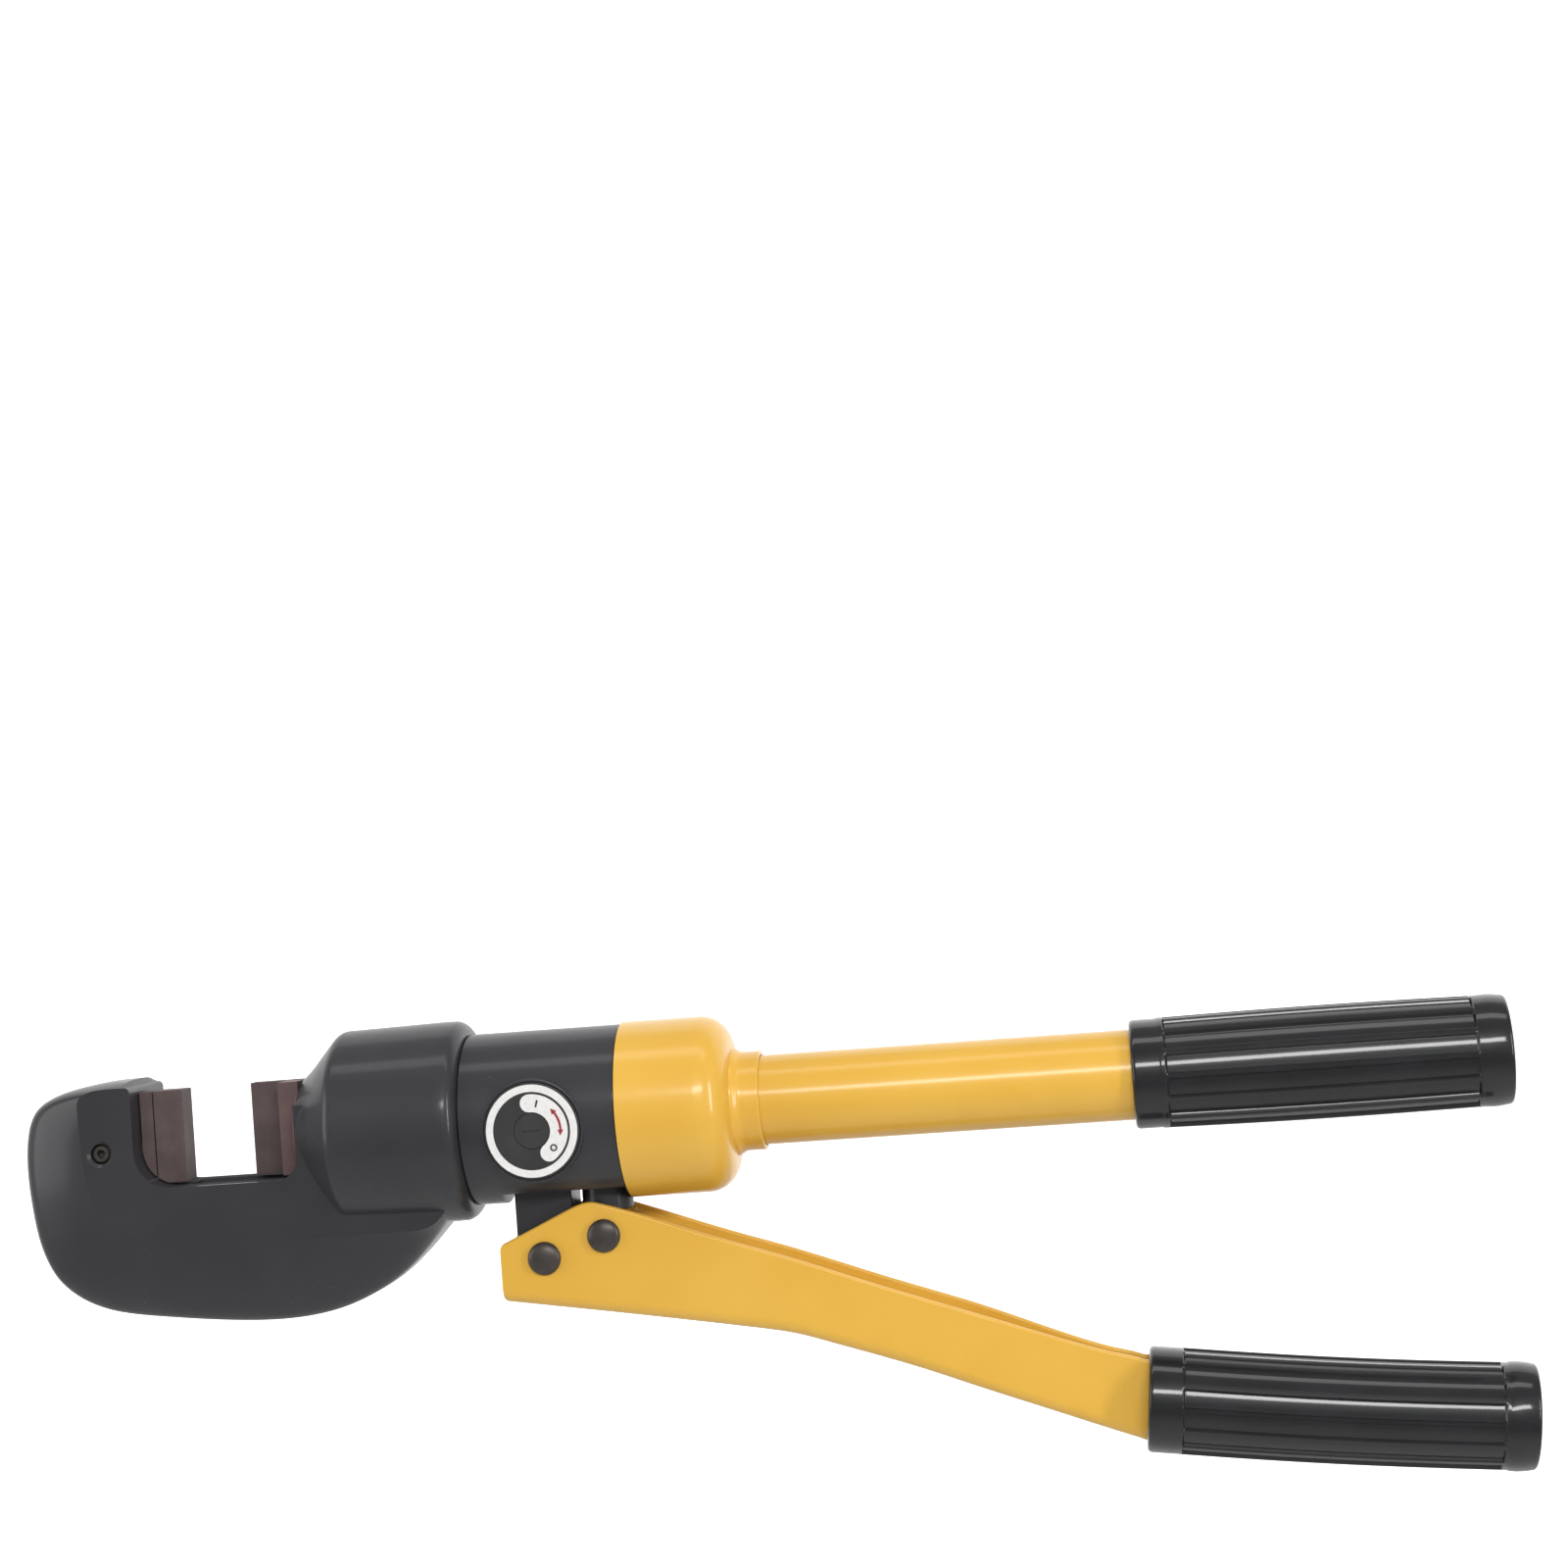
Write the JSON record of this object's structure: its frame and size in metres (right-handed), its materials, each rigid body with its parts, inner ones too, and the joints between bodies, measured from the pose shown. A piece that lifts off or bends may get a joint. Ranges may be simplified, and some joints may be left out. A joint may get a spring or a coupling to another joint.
{
  "type": "hydraulic rebar cutter",
  "caption": "Hand-pumped hydraulic rebar cutter: open C-shaped jaw with a fixed and a ram-driven blade, barrel, release dial, straight handle and pump lever.",
  "frame": {"origin": "on the cutting face of the fixed blade, where the ram's axis meets it", "axes": "+X along the ram's axis from the fixed blade to the handle, +Z out of the jaw's open side, -Y the side with the release dial"},
  "size_m": [0.5022, 0.0676, 0.1705],
  "materials": {
    "black_enamel": "semi-gloss black enamel over a forged or turned steel body",
    "yellow_enamel": "glossy yellow enamel",
    "black_grip": "semi-gloss moulded rubber",
    "brown_blade": "ground tool steel, browned by heat treatment",
    "dark_steel": "black-oxide steel",
    "bright_steel": "ground and hard-chromed steel",
    "spring_steel": "oiled spring steel",
    "ball_steel": "polished bearing steel",
    "brass": "turned brass",
    "seal_rubber": "black nitrile rubber",
    "bladder_rubber": "soft black rubber",
    "seal_plastic": "cream back-up ring plastic",
    "dial_plate": "satin black plate with white and red marks"
  },
  "bodies": {
    "body": {"head_frame": "black_enamel", "fixed_blade": "brown_blade", "fixed_blade_holder": "brown_blade", "fixed_blade_screw": "dark_steel", "head_lock_screw": "dark_steel", "rod_wiper": "seal_rubber", "cylinder_body": "black_enamel", "dial_plate": "dial_plate", "plunger_gland": "brass", "plunger_seal": "seal_rubber", "discharge_ball": "ball_steel", "discharge_spring": "spring_steel", "discharge_plug": "dark_steel", "suction_ball": "ball_steel", "suction_spring": "spring_steel", "suction_plug": "dark_steel", "relief_ball": "ball_steel", "relief_spring": "spring_steel", "relief_adjuster": "dark_steel", "rear_cap": "yellow_enamel", "handle_tube": "yellow_enamel", "oil_bladder": "bladder_rubber", "bladder_clamp": "bright_steel", "fill_plug": "brass", "tube_end_plug": "black_grip", "upper_grip": "black_grip", "return_spring": "spring_steel"},
    "ram": {"ram": "brown_blade", "moving_blade": "brown_blade", "moving_blade_screw": "dark_steel", "piston_seal": "seal_rubber", "piston_backup_ring": "seal_plastic"},
    "plunger": {"pump_plunger": "bright_steel"},
    "lever": {"lever_channel": "yellow_enamel", "lower_grip": "black_grip", "pivot_pin": "dark_steel", "pivot_pin_clip": "spring_steel", "plunger_pin": "dark_steel", "plunger_pin_clip": "spring_steel"},
    "release": {"release_knob": "black_grip", "release_needle": "bright_steel", "release_oring": "seal_rubber"}
  },
  "joints": [
    {"name": "lever_pivot", "type": "hinge", "parent": "body", "child": "lever", "pos_m": [0.1223, 0, -0.0468], "axis": [0, -1, 0], "range_deg": [-30, 10]},
    {"name": "plunger_slide", "type": "slide", "parent": "body", "child": "plunger", "axis": [0, 0, 1], "range_m": [-0.0112, 0.004]},
    {"name": "ram_slide", "type": "slide", "parent": "body", "child": "ram", "axis": [-1, 0, 0], "range_m": [0, 0.0235], "stiffness_N_per_m": 1300, "springref_m": -0.016, "deforming": ["return_spring"]},
    {"name": "release_turn", "type": "hinge", "parent": "body", "child": "release", "pos_m": [0.1244, 0, -0.003], "axis": [0, -1, 0], "range_deg": [0, 120]}
  ],
  "couplings": [
    {"joint": "plunger_slide", "follows": "lever_pivot", "m_per_rad": 0.02056}
  ]
}
